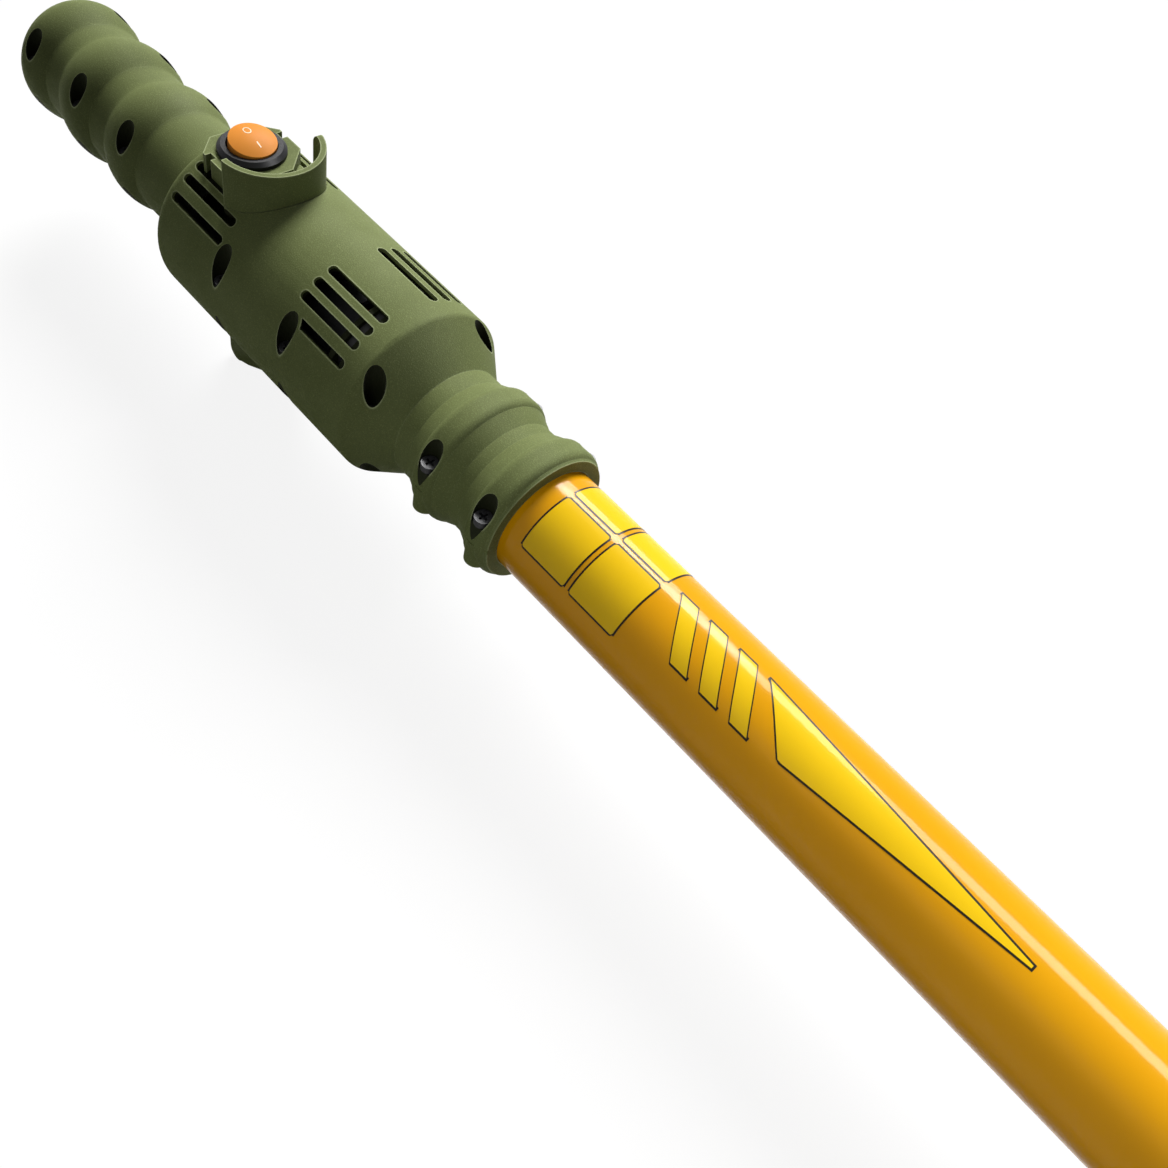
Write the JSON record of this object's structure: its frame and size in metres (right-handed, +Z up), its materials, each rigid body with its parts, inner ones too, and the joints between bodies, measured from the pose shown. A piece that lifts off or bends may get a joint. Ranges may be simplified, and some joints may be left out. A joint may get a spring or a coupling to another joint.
{
  "type": "electric olive harvester",
  "caption": "Pole-mounted electric olive harvester with a motor handle, rocker switch and two swinging finger combs.",
  "frame": {"origin": "middle of the length and width, on the surface that the tool lies on", "axes": "+X along the pole from the grip to the combs, +Z up through the switch"},
  "size_m": [1.3701, 0.183, 0.0946],
  "materials": {
    "olive_shell": "fine moulded grain, satin",
    "yellow_paint": "gloss paint",
    "black_plastic": "satin",
    "orange_rocker": "gloss",
    "dark_screw": "blackened",
    "terminal_brass": "bright",
    "black_rubber": "matt",
    "tip_rubber": "matt",
    "steel": "turned",
    "bronze": "sintered",
    "magnet": "ground",
    "copper": "lacquered wire and laminations",
    "nylon": "satin",
    "carbon": "satin fibre",
    "comb_plastic": "fine grain"
  },
  "bodies": {
    "handle": {"upper_shell": "olive_shell", "lower_shell": "olive_shell", "shell_screws": "dark_screw", "switch_housing": "black_plastic", "switch_terminals": "terminal_brass", "cable_grommet": "black_rubber", "motor_can": "steel", "motor_end_bell": "black_plastic", "motor_magnets": "magnet", "motor_bearings": "bronze", "motor_plate": "steel", "motor_screws": "steel", "motor_cushion": "black_rubber", "motor_brushes": "magnet", "shaft_bushes": "nylon", "pole_tube": "yellow_paint", "head_case": "olive_shell", "head_base": "olive_shell", "case_screws": "dark_screw", "clamp_bolt": "steel", "clamp_nut": "steel", "head_bearings": "bronze", "pivot_pin": "steel", "pivot_spacers": "nylon"},
    "drive": {"motor_shaft": "steel", "armature": "copper", "commutator": "copper", "cooling_fan": "black_plastic", "shaft_coupling": "steel", "drive_shaft": "steel", "drive_pinion": "steel"},
    "crank": {"crank_shaft": "steel", "driven_gear": "nylon"},
    "upper_swing": {"upper_comb": "comb_plastic", "upper_bush": "bronze", "upper_fingers": "carbon", "upper_tips": "tip_rubber"},
    "lower_swing": {"lower_comb": "comb_plastic", "lower_bush": "bronze", "lower_fingers": "carbon", "lower_tips": "tip_rubber"},
    "rocker": {"switch_rocker": "orange_rocker"}
  },
  "joints": [
    {"name": "drive_spin", "type": "hinge", "parent": "handle", "child": "drive", "pos_m": [-0.51095, 0, 0.054], "axis": [1, 0, 0], "continuous": true},
    {"name": "crank_spin", "type": "hinge", "parent": "handle", "child": "crank", "pos_m": [0.32405, 0, 0.03], "axis": [1, 0, 0], "continuous": true},
    {"name": "upper_comb_swing", "type": "hinge", "parent": "handle", "child": "upper_swing", "pos_m": [0.35855, 0, 0.0385], "axis": [0, 0, 1], "range_deg": [-11, 11]},
    {"name": "lower_comb_swing", "type": "hinge", "parent": "handle", "child": "lower_swing", "pos_m": [0.35855, 0, 0.0215], "axis": [0, 0, 1], "range_deg": [-11, 11]},
    {"name": "rocker_tilt", "type": "hinge", "parent": "handle", "child": "rocker", "pos_m": [-0.56095, 0, 0.0866], "axis": [0, 1, 0], "range_deg": [-18, 0]}
  ],
  "couplings": [
    {"joint": "crank_spin", "follows": "drive_spin", "ratio": -0.33333},
    {"joint": "lower_comb_swing", "follows": "upper_comb_swing", "ratio": -1}
  ]
}
